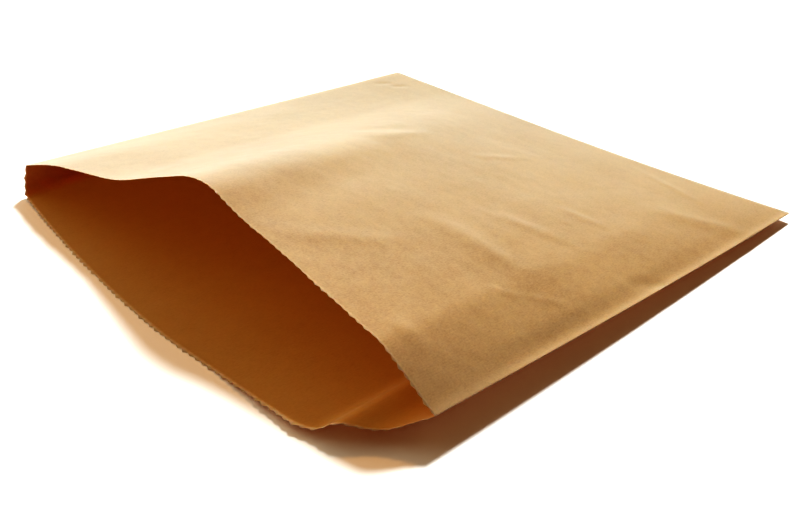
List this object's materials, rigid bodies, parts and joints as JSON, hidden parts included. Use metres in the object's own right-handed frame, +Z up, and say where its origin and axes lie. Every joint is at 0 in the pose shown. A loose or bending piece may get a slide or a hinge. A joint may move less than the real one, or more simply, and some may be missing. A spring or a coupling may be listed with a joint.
{
  "type": "flat paper bag",
  "caption": "Flat kraft paper bag lying on its lower sheet, its pinked mouth gaping under a soft ridge, with a lip on the lower sheet and the closed end folded under.",
  "frame": {"origin": "on the surface that the bag lies on, under the middle of its box", "axes": "+Z up, +Y from the mouth to the closed end, +X from the left side fold to the right one as seen from the mouth"},
  "size_m": [0.2502, 0.2764, 0.0479],
  "materials": {
    "kraft_paper": "brown kraft paper, fine fibre, one side slightly glossy"
  },
  "bodies": {
    "root": {"paper_bag": "kraft_paper"}
  },
  "joints": []
}
